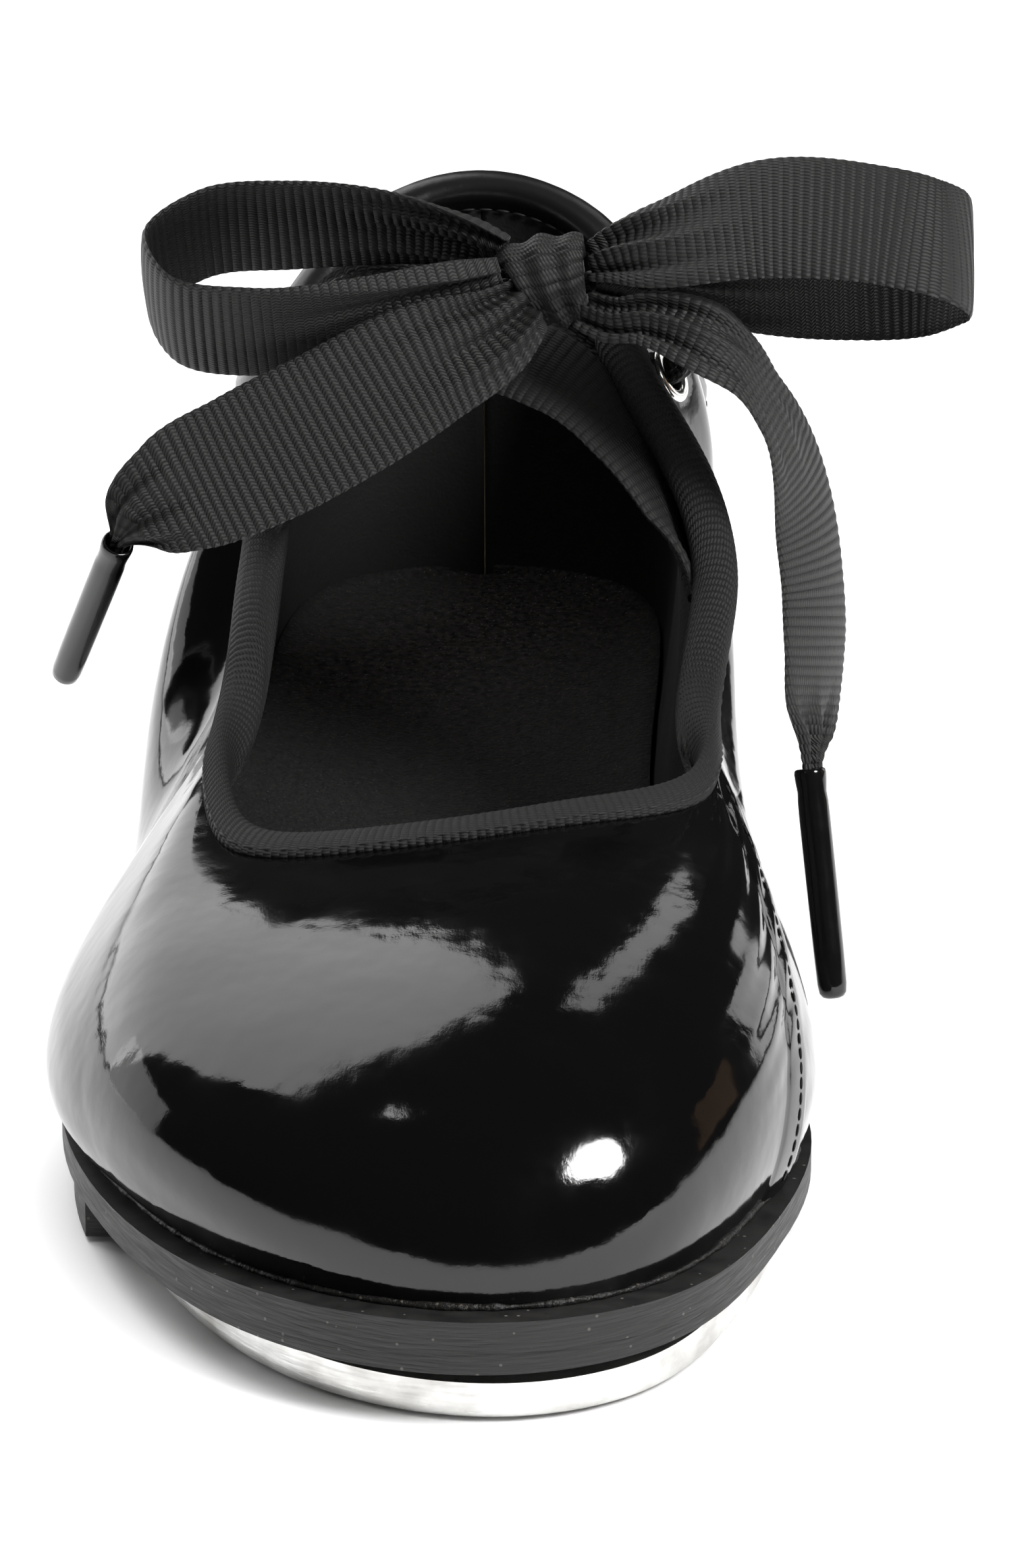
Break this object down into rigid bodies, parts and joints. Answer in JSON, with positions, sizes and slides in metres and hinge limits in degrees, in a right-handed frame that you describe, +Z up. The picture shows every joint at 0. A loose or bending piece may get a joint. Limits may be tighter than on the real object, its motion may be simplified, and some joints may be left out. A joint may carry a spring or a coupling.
{
  "type": "tap shoe",
  "caption": "Child's right tap shoe in black patent with an open instep, bound throat, ribbon bow through metal eyelets, rubber sole and screwed aluminium taps at toe and heel.",
  "frame": {"origin": "centre of the heel tap's ground face", "axes": "+X to the big-toe (medial) side, -Y to the toe, +Y to the heel, +Z up from the floor"},
  "size_m": [0.0935, 0.1769, 0.0902],
  "materials": {
    "tap_metal": "dull cast aluminium, brushed by wear on the walking face",
    "spacer_board": "black fibre board, matt",
    "screw_steel": "bright zinc-plated steel",
    "heel_rubber": "matt black moulded rubber",
    "sole_rubber": "matt black rubber, buffed edge",
    "pad_rubber": "matt black ribbed rubber",
    "filler_foam": "dense brown foam",
    "shank_steel": "bare spring steel",
    "insole_fibre": "brown fibre board",
    "sock_nap": "short black napped cloth",
    "patent": "patent leather, mirror gloss",
    "stiffener": "pressed stiffener board",
    "backer_cloth": "woven backer cloth",
    "lining_cloth": "black brushed lining cloth",
    "grosgrain_binding": "black grosgrain tape, cross ribs",
    "collar_leather": "black rolled leather edge, semi-gloss",
    "eyelet_metal": "bright nickel plate",
    "grosgrain": "black grosgrain ribbon, cross ribs",
    "aglet_plastic": "black moulded plastic, glossy",
    "elastic_webbing": "black ribbed elastic webbing"
  },
  "bodies": {
    "shoe": {"toe_tap": "tap_metal", "heel_tap": "tap_metal", "toe_tap_board": "spacer_board", "heel_tap_board": "spacer_board", "toe_tap_screws": "screw_steel", "heel_tap_screws": "screw_steel", "heel_block": "heel_rubber", "outsole": "sole_rubber", "ball_pad": "pad_rubber", "bottom_filler": "filler_foam", "shank": "shank_steel", "insole_board": "insole_fibre", "sock_liner": "sock_nap", "vamp": "patent", "medial_quarter": "patent", "back_strip": "patent", "toe_puff": "stiffener", "vamp_backer": "backer_cloth", "heel_counter": "stiffener", "lateral_eyelet_stay": "backer_cloth", "medial_eyelet_stay": "backer_cloth", "vamp_lining": "lining_cloth", "lateral_quarter_lining": "lining_cloth", "medial_quarter_lining": "lining_cloth", "throat_binding": "grosgrain_binding", "collar_binding": "collar_leather", "lateral_eyelet": "eyelet_metal", "medial_eyelet": "eyelet_metal", "ribbon_knot": "grosgrain", "lateral_strand": "grosgrain", "medial_strand": "grosgrain", "under_strand": "grosgrain", "instep_elastic": "elastic_webbing"},
    "lateral_loop": {"lateral_loop": "grosgrain"},
    "medial_loop": {"medial_loop": "grosgrain"},
    "lateral_tail": {"lateral_tail": "grosgrain", "lateral_aglet": "aglet_plastic"},
    "medial_tail": {"medial_tail": "grosgrain", "medial_aglet": "aglet_plastic"}
  },
  "joints": [
    {"name": "lateral_loop_lift", "type": "hinge", "parent": "shoe", "child": "lateral_loop", "pos_m": [0.0045, -0.0505, 0.0785], "axis": [0, 1, 0], "range_deg": [0, 25], "stiffness_Nm_per_rad": 0.004},
    {"name": "medial_loop_lift", "type": "hinge", "parent": "shoe", "child": "medial_loop", "pos_m": [0.0145, -0.05, 0.0785], "axis": [0, -1, 0], "range_deg": [0, 25], "stiffness_Nm_per_rad": 0.004},
    {"name": "lateral_tail_swing", "type": "hinge", "parent": "shoe", "child": "lateral_tail", "pos_m": [0.005, -0.054, 0.0738], "axis": [-1, 0, 0], "range_deg": [0, 12], "stiffness_Nm_per_rad": 0.004},
    {"name": "medial_tail_swing", "type": "hinge", "parent": "shoe", "child": "medial_tail", "pos_m": [0.015, -0.054, 0.0752], "axis": [1, 0, 0], "range_deg": [-6, 6], "stiffness_Nm_per_rad": 0.004}
  ]
}
